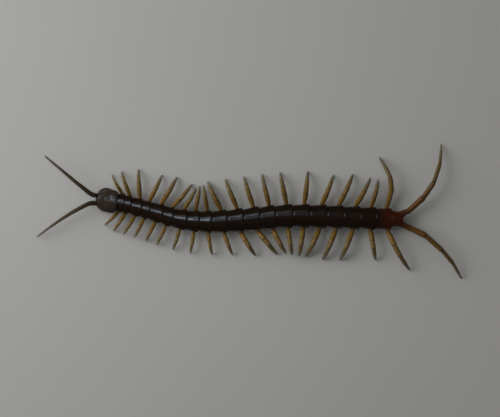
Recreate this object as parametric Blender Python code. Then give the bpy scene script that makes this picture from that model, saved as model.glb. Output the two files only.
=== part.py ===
"""A minor blueleg centipede, life size, walking over a floor with its head towards -X.

Lengths below are in millimetres and angles in degrees. A station is a distance along the
body's axis, from the front of the head towards the tail.
"""

from math import cos, pi, radians, sin

import bmesh
import bpy
from mathutils import Vector

MM = 0.001
GAP = 0.3  # left between two pieces that meet face to face
UP = Vector((0, 0, 1))
RIGHT, LEFT = 1, -1  # the animal's own sides: its right side looks towards +Y
SIDE_NAMES = {RIGHT: "right", LEFT: "left"}

# The body's axis in plan, from the front of the head to the tail.
BODY_AXIS = [
    (-34.8, 3.0),
    (-29.4, 2.2),
    (-22.7, 0.45),
    (-15.9, -1.5),
    (-9.8, -2.05),
    (-2.6, -1.7),
    (7.9, -0.75),
    (15.8, -0.8),
    (27.1, -1.3),
    (34.3, -1.5),
]
BELLY = 1.2  # how high the belly is carried
HEAD_LENGTH = 4.5

# The 21 leg-bearing segments: lengths of their back plates, short and long by turns.
SEGMENT_LENGTHS = [
    1.8, 1.6, 2.5, 1.9, 3.0, 2.4, 3.2, 2.8, 2.9, 3.5, 3.7,
    3.7, 3.5, 3.9, 3.8, 3.9, 3.7, 3.8, 3.5, 3.6, 2.7,
]  # fmt: skip
SEGMENTS = len(SEGMENT_LENGTHS)
# The trunk's lengths that are nodes of their own, by first and last segment.
TRUNK_LENGTHS = [(1, 3), (4, 6), (7, 9), (10, 12), (13, 15), (16, 18), (19, 20), (21, 21)]
# Half the trunk's width and its height, by share of the trunk's length.
HALF_WIDTHS = [
    (0, 2.15),
    (0.07, 2.05),
    (0.2, 2.2),
    (0.35, 2.52),
    (0.5, 2.64),
    (0.9, 2.5),
    (0.955, 2.26),
    (0.97, 1.85),
    (1, 1.75),
]
HEIGHTS = [(0, 2.15), (0.1, 2.2), (0.35, 2.5), (0.85, 2.6), (1, 2.05)]
# Half of the trunk's cross-section, from mid back to mid belly: back plate, its edge, the
# hollow flank under it and the belly plate. Widths are shares of the half width, heights
# of the height.
TRUNK_OUTLINE = [(0, 1), (0.45, 0.96), (0.8, 0.8), (1, 0.56), (0.9, 0.47), (0.7, 0.26), (0.58, 0), (0, 0)]
# A segment's rings: share of its length, how wide and how tall it is there, and how far the
# belly is raised. Both plates rise from a narrow neck and end in a step, over the next neck.
SEGMENT_RINGS = [(0, 0.82, 0.92, 0.14), (0.13, 0.89, 0.98, 0.03), (0.55, 0.95, 1, 0), (0.96, 1, 1, 0)]

# The head's sections: share of its length, half width, lowest and highest point.
HEAD_SECTIONS = [
    (0, 0.7, 2.35, 2.86),
    (0.07, 1.4, 2.12, 3.06),
    (0.2, 1.88, 1.98, 3.25),
    (0.45, 2.34, 1.9, 3.46),
    (0.72, 2.5, 1.9, 3.56),
    (0.92, 2.36, 1.9, 3.54),
    (1, 2.12, 2.0, 3.42),
]
HEAD_OUTLINE = [(0, 1), (0.45, 0.95), (0.8, 0.76), (1, 0.48), (0.86, 0.2), (0.55, 0.03), (0, 0)]
# The four simple eyes of a side: station, distance from the midline, height, radius.
OCELLI = [(0.62, 1.32, 2.92, 0.17), (0.95, 1.58, 3.0, 0.18), (0.8, 1.6, 2.72, 0.17), (1.2, 1.8, 2.78, 0.18)]

# The plate under the head that carries the fangs: station, half width, lowest, highest.
FANG_BASE_SECTIONS = [
    (1.95, 1.0, 0.85, 1.5),
    (2.2, 1.15, 0.78, 1.58),
    (3.2, 1.25, 0.74, 1.6),
    (3.4, 2.2, 0.76, 1.6),
    (3.9, 2.35, 0.78, 1.6),
    (4.35, 2.05, 0.9, 1.55),
]
FANG_BASE_OUTLINE = [(0, 1), (0.8, 0.95), (1, 0.5), (0.8, 0.05), (0, 0)]
TOOTH_PLATE = (0.7, 0.5, 0.42)  # length, width, height of each of its two front lobes
TOOTH_PLATE_PLACE = (1.85, 0.45, 1.18)  # station, distance from the midline, height
# A fang's course: station, distance from the midline, height, radius.
FANG = [
    (2.92, 2.08, 1.16, 0.42),
    (2.2, 2.24, 1.14, 0.54),
    (1.4, 2.1, 1.12, 0.5),
    (0.75, 1.68, 1.1, 0.42),
    (0.28, 1.08, 1.06, 0.3),
    (0.05, 0.6, 1.02, 0.18),
    (0, 0.26, 1.0, 0.06),
]

# Where a feeler's socket lies, and each feeler's course in plan with its height.
ANTENNA_ROOT = (0.4, 0.82, 2.62)  # station, distance from the midline, height
ANTENNA_COURSES = {
    RIGHT: [(-35.9, 4.35, 3.2), (-38.6, 6.6, 4.0), (-42.9, 10.4, 4.9), (-45.9, 13.0, 5.2)],
    LEFT: [(-36.5, 2.0, 3.0), (-40.7, -0.25, 3.2), (-45.0, -3.2, 2.4), (-48.1, -5.6, 1.4)],
}
SOCKET_LENGTH, SOCKET_DEPTH = 0.5, 0.9  # out of the head and into it
SOCKET_RADII = (0.66, 0.6)
ANTENNA_ARTICLES = 19
ARTICLE_SWELLS = [(0.1, 0.86), (0.8, 1.0)]  # share of an article's length, and of its radius
ANTENNA_RADII = (0.58, 0.26)  # of the first article and of the last
ANTENNA_TIP = 0.14

# Legs 1 to 20 of each side: how far the leg is swept back (+) or forward (-) of square to
# the body, and how far the claw stands out from the leg's root, seen from above.
STANCE = {
    RIGHT: [
        (-42, 4.8), (-34, 5.7), (-19, 6.4), (11, 6.3), (13, 6.9), (25, 6.7), (20, 5.5),
        (6, 5.5), (-10, 5.8), (-23, 7.0), (-18, 7.1), (-12, 7.0), (-8, 7.0), (-9, 7.1),
        (5, 7.2), (20, 7.0), (22, 7.6), (25, 7.2), (13, 6.4), (-10, 11.5),
    ],
    LEFT: [
        (-33, 4.7), (-21, 5.2), (-17, 5.2), (-12, 5.1), (-9, 5.2), (-10, 5.2), (-9, 5.2),
        (-5, 5.3), (11, 5.5), (18, 5.9), (27, 6.9), (33, 7.6), (23, 6.8), (6, 6.6),
        (-8, 7.0), (-23, 7.7), (-20, 8.2), (-19, 8.1), (12, 7.4), (30.5, 11.2),
    ],
}  # fmt: skip
# Legs that are on their way forward are carried clear of the floor.
LIFTED = {RIGHT: (7, 8, 9, 18, 19), LEFT: (3, 4, 13, 14, 15)}
LIFT = 0.8
# How far a leg that isn't straight from above bows towards the tail at its middle.
BOWS = {(RIGHT, 20): 1.9, (LEFT, 20): -0.3}
COXA_INSET, COXA_UP = 0.3, 0.42  # in from the trunk's side, up from its belly
COXA_DEPTH = 0.95  # how deep a coxa is sunk
COXA_FLARE = 0.25  # share of a coxa's depth where it starts to narrow
COXA_RADII = (0.2, 0.17)  # by share of the trunk's half width, inside and at the end
LEG_STATION = 0.7  # share of a segment's length
# A leg's joints, from root to claw: share of its reach, and height.
LEG_JOINTS = [(0, 1.62), (0.11, 1.72), (0.36, 2.5), (0.6, 2.68), (0.81, 1.92), (0.93, 0.86), (0.985, 0.3)]
# The radii at the start and end of each article between them.
LEG_RADII = [(0.42, 0.44), (0.53, 0.6), (0.52, 0.52), (0.45, 0.43), (0.37, 0.34), (0.3, 0.22)]
LONG_REACH = 7.2  # a leg that reaches less is slimmer in the same measure
LAST_WALKING_ARCH = 0.5  # how much higher the 20th leg arches
JOINT_SHARE = 0.05  # how far from a joint an article starts and ends
FOOT_HEIGHT = 0.12  # of the claw's last, upright stretch
FOOT_RADII = (0.13, 0.1)

# The last pair of legs trails behind: course in plan with height, one point a joint.
LAST_LEG_COURSES = {
    RIGHT: [
        (35.6, 0.35, 2.3), (38.8, 3.5, 3.2), (41.1, 7.0, 3.5),
        (42.4, 10.9, 2.6), (42.8, 13.8, 1.2), (42.8, 15.1, 0.35),
    ],
    LEFT: [
        (36.0, -3.6, 2.3), (39.3, -5.1, 3.2), (43.1, -8.5, 3.4),
        (45.5, -11.4, 2.4), (47.0, -14.0, 1.1), (47.65, -15.2, 0.35),
    ],
}  # fmt: skip
LAST_LEG_RADII = [(0.66, 0.68), (0.66, 0.68), (0.58, 0.57), (0.49, 0.47), (0.4, 0.36), (0.31, 0.22)]
LAST_FOOT = 0.2  # how far past its last joint the foot ends, by share of the last article
LAST_COXA = (69.0, 0.95, 1.15)  # station, distance from the midline, height over the belly
LAST_COXA_RADII = (0.84, 0.72)
LAST_COXA_LENGTH = 1.1

COLOURS = {
    "body_chitin": (0.022, 0.014, 0.012),
    "tail_chitin": (0.13, 0.022, 0.01),
    "head_chitin": (0.035, 0.017, 0.013),
    "fang_chitin": (0.16, 0.06, 0.02),
    "antenna_chitin": (0.07, 0.05, 0.025),
    "leg_chitin": (0.22, 0.14, 0.04),
    "last_leg_chitin": (0.2, 0.09, 0.025),
}


def between(table, x):
    """The value at x of a smooth curve through (x, value) pairs."""
    for (x0, v0), (x1, v1) in zip(table, table[1:]):
        if x <= x1:
            t = (x - x0) / (x1 - x0)
            return v0 + (v1 - v0) * t * t * (3 - 2 * t)
    return table[-1][1]


def smooth(points, steps=12):
    """Points on a smooth curve through the given ones."""
    ends = [2 * points[0] - points[1], *points, 2 * points[-1] - points[-2]]
    path = []
    for a, b, c, d in zip(ends, ends[1:], ends[2:], ends[3:]):
        for i in range(steps):
            t = i / steps
            slope = (c - a) / 2
            bend = (2 * a - 5 * b + 4 * c - d) / 2
            twist = (3 * b - a - 3 * c + d) / 2
            path.append(b + slope * t + bend * t**2 + twist * t**3)
    return [*path, points[-1]]


class Route:
    """A curve through points, read by the distance along it."""

    def __init__(self, points):
        self.points = points
        self.marks = [0.0]
        for a, b in zip(points, points[1:]):
            self.marks.append(self.marks[-1] + (b - a).length)
        self.length = self.marks[-1]

    def at(self, distance):
        for a, b, low, high in zip(self.points, self.points[1:], self.marks, self.marks[1:]):
            if distance <= high:
                return a.lerp(b, (distance - low) / (high - low))
        return self.points[-1].copy()

    def along(self, distance):
        near, far = max(distance - 0.4, 0), min(distance + 0.4, self.length)
        return (self.at(far) - self.at(near)).normalized()


AXIS = Route(smooth([Vector((x, y, 0)) for x, y in BODY_AXIS]))
TRUNK_LENGTH = AXIS.length - HEAD_LENGTH


def body_point(station, out, height, side=RIGHT):
    """A point by station, distance out from the midline towards a side, and height."""
    along = AXIS.along(station)
    across = Vector((-along.y, along.x, 0))
    return AXIS.at(station) + across * (out * side) + UP * height


def segment_span(number):
    """The stations where a segment's back plate starts and ends."""
    stretch = TRUNK_LENGTH / sum(SEGMENT_LENGTHS)
    start = HEAD_LENGTH + stretch * sum(SEGMENT_LENGTHS[: number - 1])
    return start, start + stretch * SEGMENT_LENGTHS[number - 1]


def trunk_size(station):
    """Half the trunk's width and its height at a station."""
    share = (station - HEAD_LENGTH) / TRUNK_LENGTH
    return between(HALF_WIDTHS, share), between(HEIGHTS, share)


def material(slot):
    made = bpy.data.materials.get(slot)
    if made is None:
        made = bpy.data.materials.new(slot)
        made.use_nodes = True
        shader = made.node_tree.nodes["Principled BSDF"]
        shader.inputs["Base Color"].default_value = (*COLOURS[slot], 1)
        shader.inputs["Roughness"].default_value = 0.3
    return made


def add_object(name, data, slot, collection):
    made = bpy.data.objects.new(name, data)
    made.data.materials.append(material(slot))
    collection.objects.link(made)
    return made


def ring(station, half_width, low, high, outline):
    """One cross-section of the body, square to its axis."""
    halves = [(out * half_width, low + up * (high - low)) for out, up in outline]
    left = [(-out, height) for out, height in reversed(halves[1:-1])]
    return [body_point(station, out, height) for out, height in [*halves, *left]]


def loft(name, rings, slot, collection):
    """A closed mesh through cross-sections that all have the same number of points."""
    bm = bmesh.new()
    loops = [[bm.verts.new(point * MM) for point in points] for points in rings]
    for near, far in zip(loops, loops[1:]):
        for i in range(len(near)):
            bm.faces.new((near[i - 1], near[i], far[i], far[i - 1]))
    bm.faces.new(loops[0])
    bm.faces.new(reversed(loops[-1]))
    bmesh.ops.recalc_face_normals(bm, faces=bm.faces)
    mesh = bpy.data.meshes.new(name)
    bm.to_mesh(mesh)
    bm.free()
    mesh.shade_smooth()
    mesh.set_sharp_from_angle(angle=radians(40))
    return add_object(name, mesh, slot, collection)


def tube(name, course, slot, collection):
    """A round tube of changing thickness, through (point, radius) pairs, with flat ends."""
    curve = bpy.data.curves.new(name, "CURVE")
    curve.dimensions = "3D"
    curve.bevel_depth = MM
    curve.bevel_resolution = 2
    curve.use_fill_caps = True
    spline = curve.splines.new("POLY")
    spline.points.add(len(course) - 1)
    for knot, (place, radius) in zip(spline.points, course):
        knot.co = (*(place * MM), 1)
        knot.radius = radius
    spline.use_smooth = True
    return add_object(name, curve, slot, collection)


def closed_mesh(made):
    """The same object as a mesh, with a tube's end caps welded to its sides."""
    graph = bpy.context.evaluated_depsgraph_get()
    mesh = bpy.data.meshes.new_from_object(made.evaluated_get(graph))
    bm = bmesh.new()
    bm.from_mesh(mesh)
    bmesh.ops.remove_doubles(bm, verts=bm.verts, dist=0.001 * MM)
    bm.to_mesh(mesh)
    bm.free()
    name, collection = made.name, made.users_collection[0]
    bpy.data.objects.remove(made)
    solid = bpy.data.objects.new(name, mesh)
    collection.objects.link(solid)
    return solid


def surface_from(start):
    """All the points of a mesh that are joined to one of them."""
    found, waiting = {start}, [start]
    while waiting:
        for edge in waiting.pop().link_edges:
            for vert in edge.verts:
                if vert not in found:
                    found.add(vert)
                    waiting.append(vert)
    return found


def keep_largest_surface(mesh):
    bm = bmesh.new()
    bm.from_mesh(mesh)
    surfaces, seen = [], set()
    for vert in bm.verts:
        if vert not in seen:
            surfaces.append(surface_from(vert))
            seen |= surfaces[-1]
    largest = max(surfaces, key=len)
    bmesh.ops.delete(bm, geom=[vert for vert in bm.verts if vert not in largest], context="VERTS")
    bm.to_mesh(mesh)
    bm.free()


def fuse(base, pieces):
    """Joins closed pieces to a base, which stays one closed body, and removes them."""
    joined = bpy.data.collections.new("joined")
    bpy.context.scene.collection.children.link(joined)
    for piece in pieces:
        joined.objects.link(piece)
    union = base.modifiers.new("union", "BOOLEAN")
    union.operation = "UNION"
    union.solver = "EXACT"
    union.operand_type = "COLLECTION"
    union.collection = joined
    graph = bpy.context.evaluated_depsgraph_get()
    base.data = bpy.data.meshes.new_from_object(base.evaluated_get(graph))
    base.modifiers.clear()
    keep_largest_surface(base.data)
    for piece in list(joined.objects):
        bpy.data.objects.remove(piece)
    bpy.data.collections.remove(joined)


def jointed(places, radii):
    """The course of a tube whose articles run from each place to the next."""
    course = []
    for near, far, (start, end) in zip(places, places[1:], radii):
        course.append((near.lerp(far, JOINT_SHARE) if course else near, start))
        course.append((near.lerp(far, 1 - JOINT_SHARE), end))
    return course


def claw(foot):
    """The last, upright stretch of a leg, which ends in a small level flat."""
    return [(foot + UP * FOOT_HEIGHT, FOOT_RADII[0]), (foot, FOOT_RADII[1])]


def leg_root(number, side):
    """Where a leg's coxa ends, and the level direction that both share there."""
    start, end = segment_span(number)
    station = start + LEG_STATION * (end - start)
    half_width, _ = trunk_size(station)
    sweep, _ = STANCE[side][number - 1]
    along = AXIS.along(station)
    square = Vector((-along.y, along.x, 0)) * side
    outward = square * cos(radians(sweep)) + along * sin(radians(sweep))
    return body_point(station, half_width - COXA_INSET, BELLY + COXA_UP, side), outward


def last_leg_root(side):
    """The same for the last pair, whose coxae end the trunk."""
    station, out, height = LAST_COXA
    inside = body_point(station, out, BELLY + height, side)
    outward = Vector(LAST_LEG_COURSES[side][0]) - inside
    outward.z = 0
    outward.normalize()
    return inside + outward * LAST_COXA_LENGTH, outward


def coxa(number, side, collection):
    if number == SEGMENTS:
        end, outward = last_leg_root(side)
        depth, radii = 2 * LAST_COXA_LENGTH, LAST_COXA_RADII
    else:
        end, outward = leg_root(number, side)
        start, rear = segment_span(number)
        half_width, _ = trunk_size((start + rear) / 2)
        depth, radii = COXA_DEPTH, [share * half_width for share in COXA_RADII]
    shoulder = end - outward * (COXA_FLARE * depth)
    course = [(end - outward * depth, radii[0]), (shoulder, radii[0]), (end, radii[1])]
    return closed_mesh(tube("coxa", course, "body_chitin", collection))


def trunk(first, last, collection):
    """One length of the trunk: plates of its segments, with a coxa on each side of each."""
    rings = []
    for number in range(first, last + 1):
        start, end = segment_span(number)
        for share, wide, tall, raised in SEGMENT_RINGS:
            station = start + share * (end - start)
            if number == first and share == 0:
                station += GAP / 2
            half_width, height = trunk_size(station)
            low, high = BELLY + raised, BELLY + height * tall
            rings.append(ring(station, half_width * wide, low, high, TRUNK_OUTLINE))
    name = f"trunk_{first:02}_{last:02}" if last > first else f"trunk_{first:02}"
    slot = "tail_chitin" if first == SEGMENTS else "body_chitin"
    body = loft(name, rings, slot, collection)
    fuse(body, [coxa(n, side, collection) for n in range(first, last + 1) for side in (RIGHT, LEFT)])


def leg(number, side, collection):
    """A walking leg: six articles and a claw, from its coxa out and down to the floor."""
    coxa_end, outward = leg_root(number, side)
    root = coxa_end + outward * GAP
    _, reach = STANCE[side][number - 1]
    back = outward.cross(UP) * side
    bow = BOWS.get((side, number), 0)
    lift = LIFT if number in LIFTED[side] else 0
    arch = LAST_WALKING_ARCH if number == SEGMENTS - 1 else 0
    places = []
    for share, height in LEG_JOINTS:
        place = root + outward * (share * reach) + back * (bow * sin(pi * share))
        place.z = height + lift * share + arch * sin(pi * share)
        places.append(place)
    foot = root + outward * reach
    foot.z = lift
    girth = min(reach / LONG_REACH, 1)
    radii = [(start * girth, end * girth) for start, end in LEG_RADII]
    course = jointed(places, radii) + claw(foot)
    tube(f"leg_{SIDE_NAMES[side]}_{number:02}", course, "leg_chitin", collection)


def last_leg(side, collection):
    """A leg of the last pair: longer than the others, arched, its tip on the floor."""
    end, outward = last_leg_root(side)
    places = [end + outward * GAP, *(Vector(place) for place in LAST_LEG_COURSES[side])]
    foot = places[-1].lerp(places[-2], -LAST_FOOT)
    foot.z = 0
    course = jointed(places, LAST_LEG_RADII) + claw(foot)
    tube(f"leg_{SIDE_NAMES[side]}_{SEGMENTS}", course, "last_leg_chitin", collection)


def antenna_socket(side):
    """Where the head's socket ends, and the way the feeler leaves it."""
    base = body_point(*ANTENNA_ROOT, side)
    outward = (Vector(ANTENNA_COURSES[side][0]) - base).normalized()
    return base + outward * SOCKET_LENGTH, outward


def head(collection):
    """The head plate over the head, with its simple eyes and the feelers' sockets."""
    length = HEAD_LENGTH - GAP / 2
    sections = [
        ring(share * length, wide, low, high, HEAD_OUTLINE)
        for share, wide, low, high in HEAD_SECTIONS
    ]
    skull = loft("head", sections, "head_chitin", collection)
    pieces = []
    for side in (RIGHT, LEFT):
        for station, out, height, radius in OCELLI:
            place = body_point(station, out, height, side) * MM
            bpy.ops.mesh.primitive_ico_sphere_add(subdivisions=2, radius=radius * MM, location=place)
            pieces.append(bpy.context.object)
        end, outward = antenna_socket(side)
        inside = end - outward * (SOCKET_LENGTH + SOCKET_DEPTH)
        course = [(inside, SOCKET_RADII[0]), (end, SOCKET_RADII[1])]
        pieces.append(closed_mesh(tube("socket", course, "head_chitin", collection)))
    fuse(skull, pieces)


def antenna(side, collection):
    """A feeler: a string of articles, each a little wider at its far end."""
    end, outward = antenna_socket(side)
    route = Route(smooth([end + outward * GAP, *(Vector(place) for place in ANTENNA_COURSES[side])]))
    first, last = ANTENNA_RADII
    course = []
    for i in range(ANTENNA_ARTICLES):
        radius = first + (last - first) * i / (ANTENNA_ARTICLES - 1)
        for share, swell in ARTICLE_SWELLS:
            place = route.at(route.length * (i + share) / ANTENNA_ARTICLES)
            course.append((place if course else route.at(0), radius * swell))
    course.append((route.at(route.length), ANTENNA_TIP))
    tube(f"antenna_{SIDE_NAMES[side]}", course, "antenna_chitin", collection)


def fangs(collection):
    """The plate under the head, with its two front lobes, and the fang of each side."""
    sections = [ring(*section, FANG_BASE_OUTLINE) for section in FANG_BASE_SECTIONS]
    base = loft("forcipule_base", sections, "fang_chitin", collection)
    station, out, height = TOOTH_PLATE_PLACE
    lobes = []
    for side in (RIGHT, LEFT):
        place = body_point(station, out, height, side)
        bpy.ops.mesh.primitive_cube_add(size=MM, location=place * MM)
        lobe = bpy.context.object
        lobe.scale = TOOTH_PLATE
        lobe.rotation_euler.z = AXIS.along(station).xy.angle_signed(Vector((1, 0)))
        lobes.append(lobe)
        course = [(body_point(s, o, h, side), radius) for s, o, h, radius in FANG]
        tube(f"forcipule_{SIDE_NAMES[side]}", course, "fang_chitin", collection)
    fuse(base, lobes)


def main():
    for old in list(bpy.data.objects):
        bpy.data.objects.remove(old)
    centipede = bpy.data.collections.new("centipede")
    bpy.context.scene.collection.children.link(centipede)
    head(centipede)
    fangs(centipede)
    for first, last in TRUNK_LENGTHS:
        trunk(first, last, centipede)
    for side in (RIGHT, LEFT):
        antenna(side, centipede)
        for number in range(1, SEGMENTS):
            leg(number, side, centipede)
        last_leg(side, centipede)


main()
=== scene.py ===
"""The looks of a minor blueleg centipede, life size, walking over a floor.

Sizes are in millimetres and angles in degrees until a mesh is made. A station is a
distance along the body's axis, from the front of the head towards the tail.
"""

from math import cos, pi, radians, sin, tau

import bmesh
import bpy
import numpy as np
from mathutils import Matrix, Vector, noise


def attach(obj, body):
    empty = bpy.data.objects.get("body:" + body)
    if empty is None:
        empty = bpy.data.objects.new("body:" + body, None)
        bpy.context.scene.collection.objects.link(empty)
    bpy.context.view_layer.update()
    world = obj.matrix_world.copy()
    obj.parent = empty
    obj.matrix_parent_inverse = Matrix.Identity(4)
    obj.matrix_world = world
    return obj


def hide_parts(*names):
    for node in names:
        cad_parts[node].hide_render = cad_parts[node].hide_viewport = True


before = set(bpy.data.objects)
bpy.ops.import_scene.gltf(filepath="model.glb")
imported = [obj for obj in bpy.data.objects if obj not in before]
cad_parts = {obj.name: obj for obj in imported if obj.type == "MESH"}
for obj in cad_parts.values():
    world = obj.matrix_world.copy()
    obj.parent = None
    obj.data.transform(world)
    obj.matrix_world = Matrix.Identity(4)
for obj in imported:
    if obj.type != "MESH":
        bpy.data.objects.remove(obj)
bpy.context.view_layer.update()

MM = 0.001
GAP = 0.3  # between the solids of a coxa and its leg, which the leg's skin bridges
UP = np.array((0.0, 0.0, 1.0))
SIDES = RIGHT, LEFT = 1, -1  # the animal's own sides: its right side looks towards +Y
SIDE_NAMES = {RIGHT: "right", LEFT: "left"}
FAN, ZIP, LOOP = "fan", "zip", "loop"  # ways to close the ends of a wall
RANDOM = np.random.default_rng(11)

# The solids' own driving sizes: the axis, the segments and the trunk's widths and heights.
BODY_AXIS = [
    (-34.8, 3.0, 0), (-29.4, 2.2, 0), (-22.7, 0.45, 0), (-15.9, -1.5, 0), (-9.8, -2.05, 0),
    (-2.6, -1.7, 0), (7.9, -0.75, 0), (15.8, -0.8, 0), (27.1, -1.3, 0), (34.3, -1.5, 0),
]
BELLY = 1.2
HEAD_LENGTH = 4.5
SEGMENT_LENGTHS = [
    1.8, 1.6, 2.5, 1.9, 3.0, 2.4, 3.2, 2.8, 2.9, 3.5, 3.7,
    3.7, 3.5, 3.9, 3.8, 3.9, 3.7, 3.8, 3.5, 3.6, 2.7,
]
SEGMENTS = len(SEGMENT_LENGTHS)
HALF_WIDTHS = [
    (0, 2.15), (0.07, 2.05), (0.2, 2.2), (0.35, 2.52), (0.5, 2.64),
    (0.9, 2.5), (0.955, 2.26), (0.97, 1.85), (1, 1.75),
]
HEIGHTS = [(0, 2.15), (0.1, 2.2), (0.35, 2.5), (0.85, 2.6), (1, 2.05)]

# The plates of the back. Their section is a flat arch that ends upright at its two edges.
ARCH_EDGE, ARCH_WIDE, ARCH_TALL = 0.56, 2 / 2.4, 2 / 1.6
PLATE_WIDTHS = [(0, 0.82), (0.12, 0.88), (0.55, 0.95), (0.9, 1.01), (0.97, 1.01), (1, 0.99)]
PLATE_HEIGHTS = [(0, 0.93), (0.07, 0.975), (0.13, 0.988), (0.5, 0.994), (1, 1.004)]
PLATE_OVERLAPS = (-0.05, 0.035)  # in front and behind
PLATE_THICKNESS = 0.11
THINNED, END_POWER, SIDE_POWER = 0.7, 14, 30  # how a plate thins out at its rims
PLATE_ROWS, PLATE_COLUMNS = 22, 60
FRONT_BOW, REAR_BOW = 0.12, 0.06  # how far a plate's front and rear edges curve
CORNER = 0.2  # how far a rear corner is rounded off
LIP_START = 0.93  # where a plate's thin rear lip starts
SUTURE_OUT, SUTURE_WIDTH, SUTURE_DEPTH = 0.31, 0.017, 0.009
SUTURED = range(3, 21)  # segments whose back plates carry the two long grooves
RIM_WIDTH, RIM_HEIGHT = 9.0, 0.035  # the bead along a plate's sides, in degrees of the arch
DENT = 0.004  # how uneven the plates are
# The last back plate is short at its sides, lobed and dented in the middle, and tapers.
LAST_SHORT, LAST_LOBE, LAST_TAPER, LAST_DENT = 0.15, 0.5, 0.14, 0.05

# The soft skin between the plates, mid back to mid belly, as shares of the trunk's size.
SKIN_OUTLINE = [
    (0, 0.86), (0.42, 0.83), (0.76, 0.68), (0.9, 0.52), (0.86, 0.42),
    (0.72, 0.27), (0.62, 0.12), (0.45, 0.06), (0, 0.05),
]
# Along a segment: the skin's width, height, and how far its belly side is raised.
SKIN_WIDTHS = [(0, 0.9), (0.2, 0.97), (0.6, 1), (1, 0.95)]
SKIN_HEIGHTS = [(0, 0.88), (0.15, 0.95), (0.5, 0.98), (0.9, 0.98), (1, 0.93)]
SKIN_RISE = [(0, 0.16), (0.13, 0.05), (0.55, 0.02), (0.95, 0.03), (1, 0.14)]
SKIN_ENDS = (-0.9, -0.45)  # from the trunk's own ends
SKIN_STEP = 0.14
FLANK = 0.3  # the flank lies further out than this share of the half width
FOLD_DEPTH, FOLD_LENGTH = 0.1, 0.16
WRINKLE = 0.035
# Small hard plates of the flank: share of the segment, height share, size along and up.
FLANK_PLATES = [
    (0.3, 0.44, 0.13, 0.05), (0.5, 0.46, 0.1, 0.04), (0.93, 0.43, 0.1, 0.05), (0.38, 0.27, 0.1, 0.05),
]
FLANK_PLATE_HEIGHT = 0.06
PORED = (3, 5, 7, 8, 10, 12, 14, 16, 18, 20)  # segments with a breathing pore on each side
PORE_PLACE = (0.68, 0.86, 0.4)  # shares of the segment, of the half width and of the height
PORE_LENGTH, PORE_HEIGHT = 0.2, 0.1  # half of each
PORE_RIM, PORE_DEPTH = 0.22, 0.05  # the rim's share of the pore, and its depth

# The plates of the belly: how wide and how far raised they are along their length.
BELLY_WIDTHS = [(0, 0.5), (0.15, 0.56), (0.6, 0.58), (0.9, 0.54), (1, 0.48)]
BELLY_RISE = [(0, 0.1), (0.12, 0.03), (0.5, 0.0), (0.92, 0.01), (1, 0.06)]
BELLY_THICKNESS = 0.09
BELLY_ROWS, BELLY_COLUMNS = 16, 33
BELLY_GROOVE = (0.5, 0.05)  # its place and its width, as shares of the half width

# The head: share of its length, half width, edge height, top height.
HEAD_PLATE = [
    (0, 0.5, 2.56, 2.72), (0.03, 0.86, 2.5, 2.86), (0.09, 1.42, 2.5, 3.04), (0.2, 1.86, 2.55, 3.25),
    (0.45, 2.34, 2.62, 3.46), (0.72, 2.52, 2.66, 3.56), (0.92, 2.4, 2.66, 3.56), (1, 2.16, 2.66, 3.5),
]
HEAD_ROWS, HEAD_COLUMNS = 40, 64
HEAD_WIDE, HEAD_TALL = 0.85, 1.15  # the arch of its section
HEAD_OVERLAP, HEAD_CORNER, HEAD_THICKNESS = 0.35, 0.22, 0.12
HEAD_RIM_WIDTH, HEAD_RIM_HEIGHT, HEAD_DENT = 8, 0.03, 0.012
# Under the head plate: share of the head's length, half width, lowest and highest point.
HEAD_SECTIONS = [
    (0, 0.5, 2.42, 2.7), (0.05, 1.0, 2.2, 2.88), (0.12, 1.46, 2.06, 3.0), (0.25, 1.84, 1.95, 3.15),
    (0.45, 2.16, 1.9, 3.3), (0.72, 2.32, 1.9, 3.4), (0.92, 2.2, 1.9, 3.38), (1, 1.98, 2.0, 3.3),
]
HEAD_OUTLINE = [(0, 1), (0.45, 0.95), (0.8, 0.76), (1, 0.48), (0.86, 0.2), (0.55, 0.03), (0, 0)]
CAPSULE_OVERLAP, CAPSULE_DROP = 0.1, 0.1
# The four simple eyes of a side: station, distance from the midline, height, radius.
OCELLI = [
    (0.62, 1.32, 2.92, 0.17), (0.95, 1.58, 3.0, 0.18), (0.8, 1.6, 2.72, 0.17), (1.2, 1.8, 2.78, 0.18),
]

# The plate under the head that carries the fangs: station, half width, lowest, highest.
FANG_BASE_SECTIONS = [
    (1.95, 1.0, 0.85, 1.5), (2.2, 1.15, 0.78, 1.58), (3.2, 1.3, 0.74, 1.75), (3.45, 2.1, 0.76, 1.9),
    (3.9, 2.3, 0.78, 1.95), (4.4, 2.05, 0.9, 1.9), (5.0, 1.6, 1.3, 2.2),
]
FANG_BASE_OUTLINE = [(0, 1), (0.8, 0.95), (1, 0.5), (0.8, 0.05), (0.4, 0.0), (0, 0.02)]
FANG_BASE_SEAM = 0.05  # how deep the groove along its middle is
TEETH = 4  # on each side
TOOTH_PLACE = (1.75, 0.14, 1.08)  # the first tip's station, distance from the midline, height
TOOTH_STEP = (0.05, 0.22)  # back and outwards
TOOTH_RADIUS, TOOTH_LENGTH, TOOTH_DEPTH = 0.1375, 0.3, 0.5
# A fang's course: station, distance from the midline, height, radius.
FANG = [
    (3.75, 1.75, 1.3, 0.5), (2.92, 2.08, 1.18, 0.53), (2.2, 2.24, 1.14, 0.55), (1.4, 2.1, 1.12, 0.48),
    (0.75, 1.68, 1.1, 0.38), (0.28, 1.08, 1.06, 0.26), (0.05, 0.6, 1.02, 0.15), (0, 0.26, 1.0, 0.04),
]
FANG_JOINTS = (0.06, 0.56, 0.65, 0.73)  # shares of its length
# The feelers of the mouth: station, distance from the midline, height, radius.
PALP = [
    (3.0, 1.1, 1.9, 0.34), (1.8, 1.35, 1.72, 0.32), (0.9, 1.2, 1.66, 0.28),
    (0.4, 0.8, 1.66, 0.24), (0.25, 0.42, 1.7, 0.13),
]
PALP_JOINTS = (0.3, 0.58, 0.8)
MOUTH_JOINT_WIDTH, MOUTH_JOINT_WAIST = 0.022, 0.16

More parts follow.
